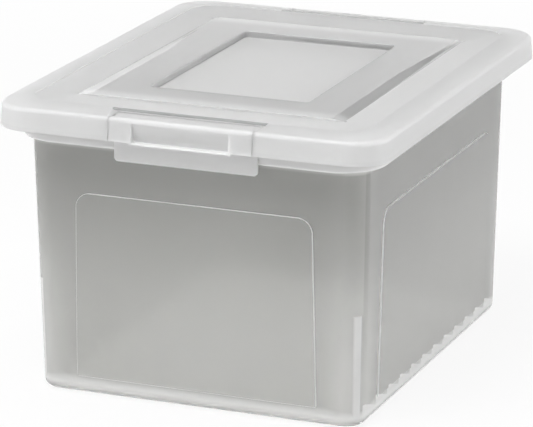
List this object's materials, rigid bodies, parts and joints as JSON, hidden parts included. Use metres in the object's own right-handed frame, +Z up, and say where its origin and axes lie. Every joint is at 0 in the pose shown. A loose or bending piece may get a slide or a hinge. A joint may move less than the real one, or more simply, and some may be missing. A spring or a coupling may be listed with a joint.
{
  "type": "file box",
  "caption": "Translucent tapered file box with a lift-off lid, a rim rail for hanging folders and a living-hinge latch at each end.",
  "frame": {"origin": "centre of the flat base, on the surface the box stands on", "axes": "+X along the short latch end, to the right seen from the front latch; +Y along the long side, to the back latch; +Z up"},
  "size_m": [0.362, 0.437, 0.2676],
  "materials": {
    "box_plastic": "translucent moulded polypropylene, finely frosted walls",
    "lid_plastic": "translucent moulded polypropylene, smooth satin, milky in thick places"
  },
  "bodies": {
    "box": {"box_body": "box_plastic"},
    "lid": {"lid": "lid_plastic"},
    "front_latch": {"latch_front": "lid_plastic"},
    "back_latch": {"latch_back": "lid_plastic"}
  },
  "joints": [
    {"name": "lid_lift", "type": "slide", "parent": "box", "child": "lid", "axis": [0, 0, 1], "range_m": [0, 0.08]},
    {"name": "front_latch_flex", "type": "hinge", "parent": "lid", "child": "front_latch", "pos_m": [0, -0.19585, 0.26436], "axis": [-1, 0, 0], "range_deg": [0, 22], "stiffness_Nm_per_rad": 0.4},
    {"name": "back_latch_flex", "type": "hinge", "parent": "lid", "child": "back_latch", "pos_m": [0, 0.19585, 0.26436], "axis": [1, 0, 0], "range_deg": [0, 22], "stiffness_Nm_per_rad": 0.4}
  ]
}
